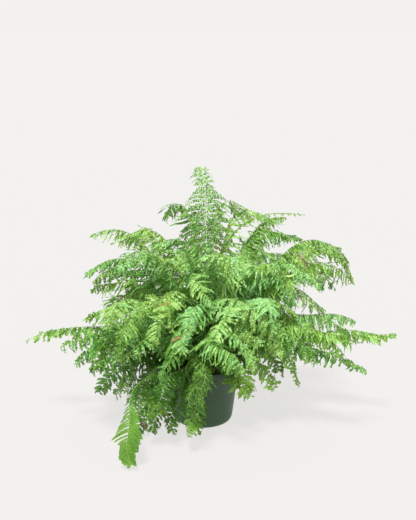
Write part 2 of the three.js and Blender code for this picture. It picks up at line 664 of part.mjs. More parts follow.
function tuftGeometry({ bud, grown }) {
  const foot = budShaft(BUD_TOP_RADIUS, BUD_RADIUS, BUD_DEPTH, BUD_HEIGHT);
  let tuft = solidOf(foot.translate(bud.x, bud.y, bud.z));
  for (const frond of grown) tuft = tuft.add(solidOf(frondGeometry(bud, frond)));
  return geometryOf(tuft);
}

// ---- The object ----

const fern = new THREE.Group();
const tufts = plantTufts();
growTufts(tufts);
const leafyTufts = tufts.filter(({ grown }) => grown.length > 0);

fern.add(named("pot", potGeometry(), potPlastic));
fern.add(named("potting_mix", soilGeometry(leafyTufts), pottingMix));
leafyTufts.forEach((tuft, i) => {
  fern.add(named(`tuft_${String(i + 1).padStart(2, "0")}`, tuftGeometry(tuft), leafGreen));
});

export default fern;
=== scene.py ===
import math

import bpy
import numpy as np
from mathutils import Euler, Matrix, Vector


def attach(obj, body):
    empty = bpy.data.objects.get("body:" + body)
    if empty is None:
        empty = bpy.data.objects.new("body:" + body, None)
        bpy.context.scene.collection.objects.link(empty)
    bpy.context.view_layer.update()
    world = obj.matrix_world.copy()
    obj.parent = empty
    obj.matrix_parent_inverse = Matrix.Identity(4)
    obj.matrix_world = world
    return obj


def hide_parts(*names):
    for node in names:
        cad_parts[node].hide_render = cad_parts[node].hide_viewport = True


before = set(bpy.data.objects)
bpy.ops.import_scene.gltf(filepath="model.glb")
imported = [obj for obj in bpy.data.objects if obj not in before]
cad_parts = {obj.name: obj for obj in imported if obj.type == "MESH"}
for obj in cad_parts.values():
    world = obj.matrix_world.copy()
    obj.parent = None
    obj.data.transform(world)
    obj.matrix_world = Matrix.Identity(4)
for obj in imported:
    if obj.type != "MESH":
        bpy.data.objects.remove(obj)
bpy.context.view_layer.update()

# A lacy Boston fern in a round nursery pot. One finer piece replaces each CAD node: the fronds are read from
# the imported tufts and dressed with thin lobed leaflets, and the pot and the mix are turned anew.
# Lengths are in metres and +Z is up. The photo is taken from the -Y side.

MM = 0.001
TAU = 2 * math.pi
UP = np.array([0, 0, 1.0])

# The pot and its mix, at the CAD's sizes.
POT_HEIGHT = 130 * MM
RIM_RADIUS = 82.5 * MM
BODY_TOP_RADIUS = 77 * MM
BASE_RADIUS = 62 * MM
WALL = 1.8 * MM
FLOOR = 2.4 * MM
RIM_BOTTOM = 115 * MM
DRAIN_COUNT = 6
DRAIN_RADIUS = 5 * MM
DRAIN_CIRCLE = 42 * MM
SOIL_EDGE = 112 * MM  # height of the potting mix at the wall
SOIL_RISE = 8 * MM  # and how much higher its middle is
SOIL_GAP = 0.3 * MM  # between the mix and the pot
LEAF_GAP = 0.4 * MM  # between the pot and what leans on it
BUD_DEPTH = 8 * MM  # from a bud's foot to the surface of the mix
BUDS_WITHIN = 68 * MM  # of the pot's axis
BUDS_BELOW = 125 * MM  # and no higher than this

# ---- Small helpers ----


def unit(v):
    """Each row of v at length 1."""
    return v / np.maximum(np.linalg.norm(v, axis=-1, keepdims=True), 1e-12)


def ease(x, low, high):
    """0 below low, 1 above high, and smooth in between."""
    t = np.clip((np.asarray(x, float) - low) / (high - low), 0, 1)
    return t * t * (3 - 2 * t)


def between(at, places, rows):
    """Rows of three numbers at the places at, between those that are known."""
    return np.stack([np.interp(at, places, rows[:, k]) for k in range(3)], 1)


def moved(at, *steps):
    """The points at, moved by each step's lengths along its axes."""
    for lengths, axes in steps:
        at = at + lengths[..., None] * axes
    return at


def ring_quads(rows, sides):
    """Faces between rows of corners, each row a ring with the same number of sides."""
    row, k = np.arange(rows - 1)[:, None] * sides, np.arange(sides)
    after = (k + 1) % sides
    return np.stack([row + k, row + after, row + sides + after, row + sides + k], -1).reshape(-1, 4)


def fan(centre, start, sides):
    """Faces from the corner centre to a ring of corners that begins at start."""
    k = np.arange(sides)
    return np.stack([np.full(sides, centre), start + k, start + (k + 1) % sides], 1)


def rings_of(profile, sides):
    """Rings of points, one for each radius and height of a profile."""
    turn = np.arange(sides) * TAU / sides
    r, z = profile[:, :1], profile[:, 1:]
    return np.stack([r * np.cos(turn), r * np.sin(turn), np.broadcast_to(z, (len(r), sides))], -1)


def outside(z):
    """The pot's outer radius at the height z, below its rim."""
    return BASE_RADIUS + (BODY_TOP_RADIUS - BASE_RADIUS) * z / RIM_BOTTOM


def off_the_pot(points):
    """The points of leaves and stalks, with those inside the pot's wall moved to its nearer side."""
    r, z = np.hypot(points[:, 0], points[:, 1]), points[:, 2]
    outer = np.where(z < RIM_BOTTOM, outside(z), RIM_RADIUS) + LEAF_GAP
    inner = outer - WALL - 2 * LEAF_GAP
    below_mix = z < SOIL_EDGE
    hit = (z < POT_HEIGHT + LEAF_GAP) & (r < outer) & (r > np.where(below_mix, BUDS_WITHIN, inner))
    outward = below_mix | (r > (inner + outer) / 2)
    scale = np.where(hit, np.where(outward, outer, inner) / np.maximum(r, 1e-9), 1)
    return points * np.stack([scale, scale, np.ones(len(points))], 1)


def cuts_pot(leaves):
    """Which of the leaves, given as rows of corners, would pass through the pot's wall."""
    r, z = np.hypot(leaves[..., 0], leaves[..., 1]), leaves[..., 2]
    middle = np.where(z < RIM_BOTTOM, outside(z), RIM_RADIUS) - WALL / 2
    low = z < POT_HEIGHT + LEAF_GAP
    return (low & (r > middle)).any(1) & (low & (r < middle)).any(1)


def placed(name, data):
    """A new object in the scene."""
    made = bpy.data.objects.new(name, data)
    bpy.context.scene.collection.objects.link(made)
    return made


class Mesh:
    """Gathers a piece's corners, with a tone and a UV for each, and its faces, with a material for each."""

    def __init__(self):
        self.points, self.tones, self.uvs, self.faces, self.kinds = [], [], [], [], []
        self.count = 0

    def add(self, points, faces, tone=(1, 1, 1, 1), uv=(0, 0), kind=0):
        """Faces are an array of corner numbers, or a tuple of them. A tone tells the shaders what to do."""
        points = np.asarray(points, float).reshape(-1, 3)
        n = len(points)
        self.points.append(points)
        self.tones.append(np.broadcast_to(np.asarray(tone, float), (n, 4)))
        self.uvs.append(np.broadcast_to(np.asarray(uv, float), (n, 2)))
        for part in faces if isinstance(faces, tuple) else (faces,):
            part = np.asarray(part) + self.count
            self.faces.append(part)
            self.kinds.append(np.full(len(part), kind))
        self.count += n

    def make(self, name, materials):
        """The object that all of it makes."""
        points = np.concatenate(self.points)
        sizes = np.concatenate([np.full(len(f), f.shape[1]) for f in self.faces])
        corners = np.concatenate([f.ravel() for f in self.faces]).astype(np.int32)
        starts = np.concatenate([[0], np.cumsum(sizes)[:-1]]).astype(np.int32)
        mesh = bpy.data.meshes.new(name)
        mesh.vertices.add(len(points))
        mesh.vertices.foreach_set("co", points.astype(np.float32).ravel())
        mesh.loops.add(len(corners))
        mesh.loops.foreach_set("vertex_index", corners)
        mesh.polygons.add(len(sizes))
        mesh.polygons.foreach_set("loop_start", starts)
        mesh.polygons.foreach_set("material_index", np.concatenate(self.kinds).astype(np.int32))
        mesh.update(calc_edges=True)
        mesh.polygons.foreach_set("use_smooth", np.ones(len(sizes), bool))
        tone = mesh.color_attributes.new("tone", "FLOAT_COLOR", "POINT")
        tone.data.foreach_set("color", np.concatenate(self.tones).astype(np.float32).ravel())
        uv = mesh.uv_layers.new(name="uv")
        uv.data.foreach_set("uv", np.concatenate(self.uvs)[corners].astype(np.float32).ravel())
        for material in materials:
            mesh.materials.append(material)
        mesh.validate()
        return placed(name, mesh)


# ---- Fronds, read from the CAD tufts so that the fine ones follow them ----

FEWEST_RINGS = 5
DENSE = 8  # steps between two rings
WANDER = 7 * MM  # how far a midrib may sway from the CAD's
ROLL = 30  # degrees that its leafy part may roll


def welded(node):
    """A CAD node's corners, each once, and its triangles."""
    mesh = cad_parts[node].data
    points = np.empty(len(mesh.vertices) * 3, np.float32)
    mesh.vertices.foreach_get("co", points)
    points, index = np.unique(points.reshape(-1, 3), axis=0, return_inverse=True)
    mesh.calc_loop_triangles()
    triangles = np.empty(len(mesh.loop_triangles) * 3, np.int32)
    mesh.loop_triangles.foreach_get("vertices", triangles)
    return points.astype(float), index.ravel()[triangles].reshape(-1, 3)


def rings_to(end, near, tips):
    """A stem's rings of three corners each, from its root to the corner at its end."""
    ring, seen, rings = near[end], {end} | tips, []
    while len(ring) == 3:
        rings.append(ring)
        seen = seen | ring
        ring = set().union(*(near[v] for v in ring)) - seen
    return rings[::-1]


def read_frond(points, near, tips, rings, end):
    """A frond's middle line, which way is up along its leafy part, and its leaflets' tips."""
    centres = [points[list(r)].mean(0) for r in rings]
    leaflets, ups, first = [], {}, None
    for i in range(len(rings) - 1):
        pair = [t for t in tips if len(near[t] & rings[i]) == 2 and len(near[t] & rings[i + 1]) == 2]
        if len(pair) != 2:
            continue
        first = i if first is None else first
        for r in (i, i + 1):
            keel = (near[pair[0]] & near[pair[1]] & rings[r]).pop()
            top = points[list(rings[r] - {keel})].mean(0)
            ups[r] = top - points[keel]
            centres[r] = (top + points[keel]) / 2
        leaflets.extend((i, points[t]) for t in pair)
    return {"centres": centres, "end": points[end], "ups": ups, "first": first, "leaflets": leaflets}


def read_tuft(node):
    """Where a tuft's bud stands, and its fronds."""
    points, triangles = welded(node)
    near = [set() for _ in points]
    for a, b, c in triangles:
        near[a] |= {b, c}
        near[b] |= {a, c}
        near[c] |= {a, b}
    # A leaflet's tip has four neighbours and a stem's end has three.
    tips = {i for i, n in enumerate(near) if len(n) == 4}
    fronds = []
    for end in (i for i, n in enumerate(near) if len(n) == 3):
        rings = rings_to(end, near, tips)
        if len(rings) >= FEWEST_RINGS:
            fronds.append(read_frond(points, near, tips, rings, end))
    inside = points[(np.hypot(points[:, 0], points[:, 1]) < BUDS_WITHIN) & (points[:, 2] < BUDS_BELOW)]
    foot = inside[inside[:, 2] < inside[:, 2].min() + 0.5 * MM].mean(0)
    return foot, fronds


def smooth_path(points):
    """A dense smooth path through points, how far along it each step lies, and each of the points."""
    p = np.array(points)
    gaps = np.linalg.norm(np.diff(p, axis=0), axis=1)
    slope = np.gradient(p, np.concatenate([[0], np.cumsum(gaps)]), axis=0)
    dense = [p[:1]]
    u = np.linspace(0, 1, DENSE + 1)[1:, None]
    for k, gap in enumerate(gaps):
        dense.append(
            (2 * u**3 - 3 * u**2 + 1) * p[k]
            + (u**3 - 2 * u**2 + u) * gap * slope[k]
            + (3 * u**2 - 2 * u**3) * p[k + 1]
            + (u**3 - u**2) * gap * slope[k + 1]
        )
    dense = np.concatenate(dense)
    s = np.concatenate([[0], np.cumsum(np.linalg.norm(np.diff(dense, axis=0), axis=1))])
    return dense, s, s[::DENSE]


def lay_out(foot, raw, rng):
    """A frond's path with its axes, and on each side the way that its leaflets point, along the path."""
    root = foot + UP * BUD_DEPTH
    path, s, marks = smooth_path([root, *raw["centres"], raw["end"]])
    along = unit(np.gradient(path, s, axis=0))
    known = sorted(raw["ups"])
    up = between(s, marks[1:][known], np.array([raw["ups"][r] for r in known]))
    across = unit(np.cross(up, along))
    up = np.cross(along, across)
    sides = {1: [], -1: []}
    for i, tip in raw["leaflets"]:
        at = (marks[1 + i] + marks[2 + i]) / 2
        k = int(np.argmin(abs(s - at)))
        reach = tip - (raw["centres"][i] + raw["centres"][i + 1]) / 2
        hand = 1 if reach @ across[k] > 0 else -1
        sides[hand].append((at, hand * reach @ across[k], reach @ along[k], reach @ up[k]))
    # It wanders a little about the CAD's midrib and its leafy part rolls to and fro.
    far = (s / s[-1])[:, None]
    free = ease(far, 0.15, 0.6)
    sway = [np.sin(far * TAU * rng.uniform(1.2, 2.6) + rng.uniform(0, TAU)) for _ in range(3)]
    path = path + free * WANDER * (across * sway[0] + up * 0.7 * sway[1])
    along = unit(np.gradient(path, axis=0))
    # Those that hang over the rim and the one that stands highest hardly roll.
    steady = ease(path[-1, 2], 0.06, 0.2) * (1 - ease(path[-1, 2], 0.5, 0.52))
    roll = np.radians(ROLL) * steady * free * sway[2]
    across = across * np.cos(roll) + up * np.sin(roll)
    across = unit(across - (across * along).sum(1, keepdims=True) * along)
    return dict(
        path=path, s=s, along=along, across=across, up=np.cross(along, across), length=s[-1],
        leafy=marks[1 + raw["first"]], sides={h: np.array(sorted(v)) for h, v in sides.items()},
    )


# ---- Leaflets ----

LEAF, STEM, SCALE = 0, 1, 2  # the materials' places in a tuft's piece


def blade_template(lobes, notch, steps=2, lean=0.07, blunt=2.4):
    """Corners (along, across, edge) and faces of a flat lobed blade of length 1 and half width 1."""
    rows = np.array([-1, -0.45, 0, 0.45, 1])
    corners, last_x = [], lobes + 0.35
    for k in range(lobes * steps):
        share = (k % steps) / steps
        x = (k / steps) / last_x
        form = (1 - x**blunt) ** 0.75 * (0.72 + 0.28 * min(1, x / 0.14))
        peak = math.sin(math.pi * share) ** 0.6 if share else 0.0
        half = form * (notch + (1 - notch) * peak)
        corners.append(np.stack([x + lean * peak * abs(rows) ** 1.5, half * rows, rows], -1))
    n, m = len(corners), len(rows)
    corners = np.concatenate([np.concatenate(corners), [[1.0, 0, 0]]])
    k = (np.arange(n - 1)[:, None] * m + np.arange(m - 1)).ravel()
    last = (n - 1) * m + np.arange(m - 1)
    threes = np.stack([last, np.full(m - 1, n * m), last + 1], 1)
    return corners, np.stack([k, k + m, k + m + 1, k + 1], 1), threes


LACY = blade_template(8, 0.42)
SMALL = blade_template(4, 0.5)
BROAD = blade_template(5, 0.66, 3, 0.05, 3.6)
TONGUE = blade_template(8, 0.55, 2, 0.1, 3.0)
STRAP = blade_template(3, 0.85, 3, 0.03, 7.0)
SCALY = blade_template(3, 0.8)
FEATHER = "feather"
BIG_BLADE = 12 * MM  # shorter ones are SMALL

# A feather's small rounded lobe, along and across, whose middle line is folded up a little.
LOBE = np.array([
    [0, 0, 0], [0.35, -1, 0], [0.35, 0, 0.35], [0.35, 1, 0],
    [0.78, -0.8, 0], [0.78, 0, 0.3], [0.78, 0.8, 0], [1, 0, 0],
])
LOBE_THREES = np.array([[0, 2, 1], [0, 3, 2], [4, 5, 7], [5, 6, 7]])
LOBE_FOURS = np.array([[1, 2, 5, 4], [2, 3, 6, 5]])
RIB_STEPS = 6
RIB_RADIUS = 0.42 * MM


def add_copies(mesh, points, faces, over, tones, uv, kind):
    """Copies of one form, a row of corners for each; those that over picks have their faces turned over."""
    n, m = points.shape[:2]
    shift = (np.arange(n) * m)[:, None, None]
    made = []
    for part in faces:
        part = part[None] + shift
        part[over] = part[over][:, :, ::-1]
        made.append(part.reshape(-1, part.shape[-1]))
    uv = np.broadcast_to(uv, (n, m, 2)).reshape(-1, 2)
    mesh.add(points, tuple(made), np.broadcast_to(tones, (n, m, 4)).reshape(-1, 4), uv, kind)


def add_blades(mesh, template, root, toward, wide, length, half, bend, tone, rng, grain=0.3, kind=LEAF):
    """Many blades at once. toward and wide are unit rows; bend holds a column for each way of bending.

    grain is how much the lightness varies within a blade. Blades that would cut the pot are left out.
    """
    corners, quads, threes = template
    n, m = len(root), len(corners)
    x, y, v = corners[:, 0], corners[:, 1], corners[:, 2]
    normal = np.cross(toward, wide)
    flip = np.where(normal[:, 2:] < 0, -1, 1)
    normal = normal * flip
    droop, falcate, fold, ruffle, phase, twist = (bend[:, k : k + 1] for k in range(6))
    length, half = length[:, None], half[:, None]
    side = y * half
    lift = -droop * x**2 * length + fold * abs(side)
    lift = lift + ruffle * half * np.sin(phase + x * 11 + v * 1.3) * v**2
    lift = lift + ruffle * 0.6 * half * np.sin(phase * 2 + x * 23 - v * 2.1) * v**2 * np.sign(v)
    turn = twist * x
    out = x * length * (1 - 0.35 * np.abs(droop) * x)
    across = side * np.cos(turn) - lift * np.sin(turn) + falcate * x**2 * length
    above = side * np.sin(turn) + lift * np.cos(turn)
    points = moved(root[:, None], (out, toward[:, None]), (across, wide[:, None]), (above, normal[:, None]))
    tones = np.broadcast_to(tone[:, None], (n, m, 4)).copy()
    tones[..., :2] = np.clip(tones[..., :2] + rng.normal(0, 1, (n, m, 2)) * [0.2 * grain, grain], 0, 1)
    kept = ~cuts_pot(points)
    if kept.any():
        # Where the normal was turned round the faces are turned over, so that they all look up.
        uv = np.stack([x, v * 0.5 + 0.5], 1)
        add_copies(mesh, points[kept], (quads, threes), flip[kept, 0] < 0, tones[kept], uv, kind)


def add_lobes(mesh, at, axes, reach, broad, tone, whole, rng, grain):
    """The lobes on one side of many feathers, a row for each feather; whole says which feathers to draw."""
    n, pairs = reach.shape
    curl = rng.normal(0.12, 0.15, (n, pairs))[..., None]
    a, b, c = LOBE[:, 0], LOBE[:, 1], LOBE[:, 2]
    way, cross, face = (axis[:, :, None] for axis in axes)
    far, wide = reach[..., None], broad[..., None]
    points = moved(at[:, :, None], (far * a, way), (wide * b, cross), (wide * c - curl * far * a**2, face))
    points = points.reshape(-1, len(LOBE), 3)
    shade = np.broadcast_to(tone[:, None, None], (n, pairs, len(LOBE), 4)).copy()
    shade[..., 1] += rng.normal(0, grain, (n, pairs, 1))
    shade[..., 0] += rng.normal(0, 0.08, (n, pairs, 1))
    shade = np.clip(shade, 0, 1).reshape(-1, len(LOBE), 4)
    kept = np.repeat(whole, pairs) & ~cuts_pot(points)
    if kept.any():
        # Those whose faces would look down are turned over.
        over = ((np.cross(axes[0], axes[1]) * axes[2]).sum(-1) >= 0).ravel()[kept]
        uv = np.stack([a, b * 0.5 + 0.5], 1)
        add_copies(mesh, points[kept], (LOBE_FOURS, LOBE_THREES), over, shade[kept], uv, LEAF)


def add_ribs(mesh, line, wide, normal, light):
    """The thin three-sided ribs of many feathers, along their lines of points."""
    n = len(line)
    thick = (RIB_RADIUS * (1.15 - np.linspace(0, 1, RIB_STEPS)))[None, :, None, None]
    corners = np.stack([wide, -0.5 * wide + 0.87 * normal, -0.5 * wide - 0.87 * normal], 1)[:, None]
    points = (line[:, :, None] + thick * corners).reshape(n, -1, 3)
    last = (RIB_STEPS - 1) * 3
    faces = (ring_quads(RIB_STEPS, 3), np.array([[0, 2, 1], [last, last + 1, last + 2]]))
    tone = np.stack([np.full(n, 0.9), light, np.zeros(n), np.ones(n)], 1)
    add_copies(mesh, points, faces, np.zeros(n, bool), tone[:, None], (0.5, 0.5), STEM)


def add_feathers(mesh, pairs, root, toward, wide, length, half, bend, tone, rng, grain, plumb):
    """Many feather-like leaflets at once, each a thin rib with small lobes on both sides.

    plumb is how far they droop straight down instead of at right angles to their blade. Feathers whose rib
    would cut the pot are left out, and so are single lobes.
    """
    n = len(root)
    normal = np.cross(toward, wide)
    normal = normal * np.where(normal[:, 2:] < 0, -1, 1)
    heave = unit(normal + plumb * (UP - toward[:, 2:] * toward))
    droop, falcate, fold, ruffle, phase, twist = (bend[:, k][:, None] for k in range(6))

    def line(x):
        """Points of the ribs at the shares x of their length."""
        far = length[:, None] * x * (1 - 0.35 * abs(droop) * x)
        lift = length[:, None] * (-droop * x**2 + 0.04 * ruffle * np.sin(phase + 9 * x) * x)
        aside = length[:, None] * falcate * x**2
        return moved(root[:, None], (far, toward[:, None]), (lift, heave[:, None]), (aside, wide[:, None]))

    rib = line(np.linspace(0, 1, RIB_STEPS)[None])
    whole = ~cuts_pot(rib)
    x = ((np.arange(pairs) + 0.7) / (pairs + 0.4))[None]
    size = (1 - x**2.6) ** 0.7 * np.minimum(1, 0.8 + x * 2)
    ahead = unit(line(x + 0.04) - line(x - 0.04))
    for hand in (1, -1):
        turn = (twist * x * 0.6 + fold * 0.5 * hand)[..., None]
        out = hand * (wide[:, None] * np.cos(turn)) + normal[:, None] * np.sin(turn * hand)
        out = unit(out - (out * ahead).sum(-1, keepdims=True) * ahead)
        lean = np.radians(22 + 34 * x + rng.normal(0, 9, (n, pairs)))[..., None]
        way = out * np.cos(lean) + ahead * np.sin(lean)
        face = unit(np.cross(ahead, out) * hand)
        face = face * np.where(face[..., 2:] < 0, -1, 1)
        way = unit(way + face * rng.normal(-0.12, 0.3, (n, pairs, 1)))
        axes = (way, unit(np.cross(face, way)), face)
        reach = half[:, None] * size * rng.uniform(0.85, 1.12, (n, pairs))
        broad = np.minimum(length[:, None] / pairs * 0.5, reach * 0.42) * rng.uniform(0.85, 1.1, (n, pairs))
        add_lobes(mesh, line(x), axes, reach, broad, tone, whole, rng, grain)
    if whole.any():
        add_ribs(mesh, rib[whole], wide[whole], normal[whole], tone[whole, 1])


def add_tube(mesh, path, across, up, radius, tone, kind, sides=5):
    """A round stem along a path, closed at both ends."""
    n = len(path)
    turn = np.arange(sides) * TAU / sides
    ring = across[:, None] * np.cos(turn)[None, :, None] + up[:, None] * np.sin(turn)[None, :, None]
    points = path[:, None] + ring * radius[:, None, None]
    ends = np.array([np.arange(sides)[::-1], (n - 1) * sides + np.arange(sides)])
    uv = np.stack(np.meshgrid(np.linspace(0, 1, n), turn / TAU, indexing="ij"), -1)
    tones = np.broadcast_to(tone[:, None], (n, sides, 4))
    mesh.add(points, (ring_quads(n, sides), ends), tones.reshape(-1, 4), uv.reshape(-1, 2), kind)


# ---- Fronds ----

FEWEST_LEAFLETS = 6
BARE_NUB = 8 * MM  # CAD leaflets no longer than this were cut short to clear another tuft
WAVE_LENGTH = 75 * MM  # over which the leaflets' length waves a little
# Painted shade and light on the foliage: x, z, how far that reaches along each, and how much darker it is
# (paler below 0).
SHADE_AND_LIGHT_PATCHES = (
    (0.0, 0.25, 0.13, 0.05, -0.25), (0.06, 0.32, 0.08, 0.05, -0.45), (-0.15, 0.19, 0.08, 0.05, 0.4),
    (-0.2, 0.27, 0.06, 0.04, 0.2), (0.32, 0.3, 0.1, 0.08, 0.25), (-0.01, 0.14, 0.06, 0.06, 0.8),
    (0.11, 0.25, 0.035, 0.03, 0.35),
)


def side_values(side, at):
    """Direction and length of the leaflets at the places at, between the CAD's leaflets."""
    reach = np.linalg.norm(side[:, 1:], axis=1)
    full = reach > BARE_NUB
    if reach.max() > 2 * BARE_NUB and full.sum() >= 3:
        side, reach = side[full], reach[full]
    return unit(between(at, side[:, 0], unit(side[:, 1:]))), np.interp(at, side[:, 0], reach)


def taper(frond, look, at, share, reach):
    """The leaflets' lengths: they wave a little along the frond and grow shorter at its root and tip."""
    slim = look["slim"]
    start = frond["length"] * look["start"]
    reach = reach * (1 + 0.16 * np.sin(at * TAU / WAVE_LENGTH + look["phase"]))
    reach = reach * (0.35 + 0.65 * ease(at, start, frond["leafy"] + 0.12 * frond["length"]))
    reach = reach * np.clip((1.02 - share) / 0.1, 0.25, 1) ** 0.6
    reach = reach * (1 - slim * (1 - ease(share, 0.55, 0.75)))
    least = look["least"] * np.clip((1.04 - share) / 0.12, 0.3, 1) ** 0.6
    least = least * (1 - slim * (1 - ease(share, 0.6, 0.75)))
    return np.maximum(reach, least)


def painted_shade(base, share):
    """Painted shade: how much darker the leaflets are that grow from the points base, deep in the plant, low
    down and high in the crown, where the plant shades itself, and in the patches, which also paint light.
    """
    out, high = np.hypot(base[:, 0], base[:, 1]), base[:, 2]
    inner = 1 - ease(out / 0.25 + high / 0.24, 0.7, 1.3)
    low = 1 - ease(high, 0.04, 0.16)
    hidden = (1 - ease(share, 0.55, 0.95)) * (1 - ease(out, 0.18, 0.3))
    painted_dark = 0.34 * inner + low * (0.15 + 0.3 * hidden)
    painted_dark = painted_dark + 0.12 * ease(out, 0.2, 0.3) * ease(high, 0.2, 0.3)
    painted_dark = painted_dark + 0.2 * (1 - ease(out, 0.15, 0.3)) * ease(high, 0.36, 0.4)
    for x, z, wide, tall, darker in SHADE_AND_LIGHT_PATCHES:
        painted_dark = painted_dark + darker * np.exp(-(((base[:, 0] - x) / wide) ** 2) - ((high - z) / tall) ** 2)
    return painted_dark


def leaflet_bends(look, count, rng):
    """A row for each leaflet: droop, curve in its own plane, fold, ruffle and its phase, and twist."""
    mess = look["mess"]
    return np.stack([
        rng.normal(look["droop"], 0.15 * mess, count),
        rng.normal(0.16, 0.07, count),
        rng.normal(-0.1, 0.3 * mess, count),
        rng.uniform(0.2, 0.6, count) * look["ruffle"],
        rng.uniform(0, TAU, count),
        rng.normal(0, 0.6 * mess, count),
    ], 1)


def leaflet_tones(look, base, share, rng):
    """A row for each leaflet: how yellow, light (less painted shade) and dry it is, and 1."""
    count, mess = len(share), look["mess"]
    # Painted shade from where the leaflet grows, and more near the root of slim fronds.
    painted_dark = painted_shade(base, share) + look["slim"] * (1 - ease(share, 0.4, 0.65))
    dry = rng.uniform(size=count) < look["dry"] * (0.3 + share)
    tone = np.stack([
        look["yellow"] + 0.2 * mess * rng.normal(size=count) + 0.2 * (share - 0.5),
        look["light"] + 0.14 * mess * rng.normal(size=count) + 0.3 * (share - 0.5) - painted_dark,
        dry * rng.uniform(0.5, 1, count),
        np.ones(count),
    ], 1)
    return np.clip(tone, 0, 1)


def dress_side(mesh, frond, hand, rng, look):
    """Grow the leaflets on one side of a frond; hand is 1 or -1."""
    start = frond["length"] * look["start"]
    leafy_length = frond["length"] - start
    pitch = look["pitch"]
    count = max(int(leafy_length / pitch), FEWEST_LEAFLETS)
    share = (np.arange(count) + 0.5 + 0.25 * hand) / count
    at = start + leafy_length * share
    at = at + rng.normal(0, 0.12 * pitch, count)
    way, reach = side_values(frond["sides"][hand], at)
    way[:, 1] *= look["sweep"]
    way = unit(way + rng.normal(0, look["untidy"], way.shape))
    reach = taper(frond, look, at, share, reach * look["size"] * rng.uniform(0.84, 1.1, count))
    across, along, up = (unit(between(at, frond["s"], frond[k])) for k in ("across", "along", "up"))
    toward = way[:, :1] * hand * across + way[:, 1:2] * along + way[:, 2:] * up
    toward = unit(toward - UP * look["gravity"] * rng.uniform(0.6, 1.4, (count, 1)))
    wide = unit(along - (along * toward).sum(1, keepdims=True) * toward)
    normal = np.cross(toward, wide) * hand
    wave = np.sin(at * TAU / look["wave"] + look["phase"] + (0 if hand > 0 else 1.7))
    tilt = np.radians(look["tilt"] + look["mess"] * (18 * wave + rng.normal(0, 9, count)))[:, None]
    wide = unit(wide * np.cos(tilt) + normal * np.sin(tilt))
    half = np.minimum(look["half"], reach * 0.28) * rng.uniform(0.88, 1.12, count)
    if hand == look["slits"]:
        half = half * (0.36 + 0.64 * ease(share, 0.8, 0.92))
    bend = leaflet_bends(look, count, rng)
    base = between(at, frond["s"], frond["path"])
    tone = leaflet_tones(look, base, share, rng)
    rows = (base, toward, wide, reach, half, bend, tone)
    if look["blade"] is FEATHER:
        steps = np.clip(np.round(reach / look["fine"]), 4, 16).astype(int)
        for pairs in np.unique(steps):
            chosen = steps == pairs
            add_feathers(mesh, pairs, *(row[chosen] for row in rows), rng, look["grain"], look["plumb"])
        return
    big = reach > BIG_BLADE
    for chosen, template in ((big, look["blade"]), (~big, SMALL)):
        if chosen.any():
            add_blades(mesh, template, *(row[chosen] for row in rows), rng, look["grain"])


def dress_frond(mesh, frond, rng, look):
    """Grow a frond's leaflets and its stem."""
    for hand in (1, -1):
        dress_side(mesh, frond, hand, rng, look)
    keep = slice(0, None, 2)
    path, s = frond["path"][keep], frond["s"][keep]
    share = s / frond["length"]
    radius = (1.15 - 0.85 * share) * MM * look["stem"]
    brown = look["brown"] * (1 - ease(share, 0.15, 0.8))
    tone = np.stack([share, np.full(len(s), look["light"]), brown, np.ones(len(s))], 1)
    add_tube(mesh, path, frond["across"][keep], frond["up"][keep], radius, tone, STEM)


# What makes up a frond's look. Its leaflets have a form (blade, with fine as the length for each pair of a
# feather's lobes), begin at the share start and stand pitch apart. They are at most half wide, size times as
# long as the CAD's and no shorter than least. slim makes those near the root short and painted dark, as
# painted shade, and slits is the side where they are narrow (1 or -1). They lean to the tip by sweep and down
# by gravity, bend down by droop (straight down by plumb) and turn by tilt degrees, varied by a wave of that
# length and phase. untidy, mess and ruffle are how much directions, all else and edges vary. yellow, light,
# dry and grain are for the colour, stem and brown for the stem's thickness and colour.
HABITS = dict(
    blade=FEATHER, start=0.13, sweep=0.4, untidy=0.09, ruffle=1.0, dry=0.007, stem=1.0, plumb=0.3,
    least=3.2 * MM, slits=0, slim=0.0,
)
# The fronds that stand out in the photo.
SPECIAL = {
    "upright": dict(
        fine=3.2 * MM, start=0.2, pitch=8.5 * MM, half=5.4 * MM, size=1.25, sweep=0.6, gravity=0.0, droop=0.8,
        plumb=3.0, mess=0.5, untidy=0.04, light=0.42, yellow=0.3, dry=0.0, brown=1.0, stem=1.25,
    ),
    "tendril": dict(pitch=13 * MM, half=4 * MM, least=8 * MM, light=0.6, yellow=0.7, stem=2.2, start=0.35),
    "crescent": dict(
        blade=STRAP, pitch=6.4 * MM, half=5.6 * MM, size=1.05, least=23 * MM, sweep=0.8, gravity=0.0,
        droop=0.05, untidy=0.01, mess=0.08, grain=0.06, tilt=8, ruffle=0.2, light=0.3, yellow=0.5, dry=0.0,
        slits=-1, slim=0.75,
    ),
    "sparse": dict(
        blade=BROAD, pitch=13 * MM, half=6.6 * MM, size=1.15, gravity=0.25, droop=0.3, light=0.5, yellow=0.5,
    ),
    "paw": dict(
        blade=BROAD, pitch=8.5 * MM, half=5.2 * MM, size=1.0, gravity=0.1, droop=0.2, mess=0.3, grain=0.1,
        light=0.62, yellow=0.7,
    ),
    "comb": dict(
        blade=TONGUE, pitch=6.8 * MM, half=4.4 * MM, size=1.15, gravity=0.1, droop=0.2, mess=0.35, grain=0.16,
        light=0.42, yellow=0.4,
    ),
}


def special_kind(frond):
    """Which of the odd fronds this is, by where its tip is and how long its leaflets are."""
    x, y, z = frond["path"][-1]
    longest = max(np.linalg.norm(side[:, 1:], axis=1).max() for side in frond["sides"].values())
    if z > 0.52:
        return "upright"
    if z > 0.4 and longest < 14 * MM:
        return "tendril"
    if z < 0.06 and math.hypot(x + 0.129, y + 0.253) < 0.04:
        return "crescent"
    if z < 0.11 and y < 0 and math.hypot(x, y) < 0.21:
        return "paw" if x > -0.06 else "comb"
    if abs(x) > 0.36:
        return "sparse"
    return None


